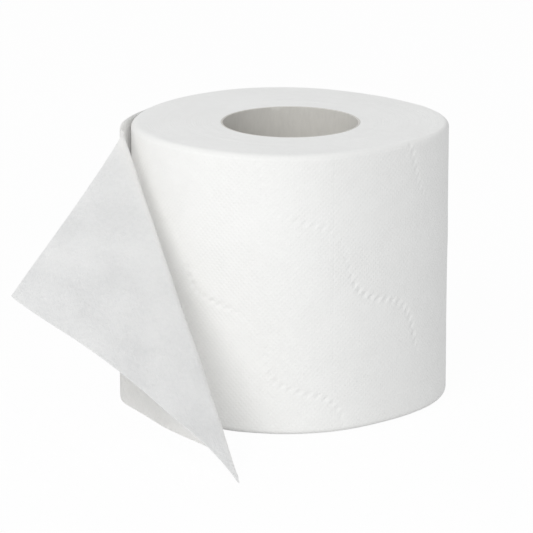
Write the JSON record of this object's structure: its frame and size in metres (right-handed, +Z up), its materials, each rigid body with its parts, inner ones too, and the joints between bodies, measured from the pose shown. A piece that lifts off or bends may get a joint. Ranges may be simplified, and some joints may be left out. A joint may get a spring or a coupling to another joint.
{
  "type": "toilet paper roll",
  "caption": "Soft embossed tissue wound on a round cardboard core, standing on end, with the last sheet pulled loose and folded outward on a diagonal.",
  "frame": {"origin": "on the axis of the core, in the plane the roll stands on", "axes": "+Z up along the core, -Y towards the viewer, +X to the viewer's right; the loose tail leaves on the -X side and reaches towards -Y"},
  "size_m": [0.1429, 0.1534, 0.095],
  "materials": {
    "core_board": "matt light grey-brown core board with a spiral seam",
    "tissue": "soft white tissue, fully matt, with fine diagonal embossing and beaded wavy lines"
  },
  "bodies": {
    "root": {"core_tube": "core_board", "paper_roll": "tissue"}
  },
  "joints": []
}
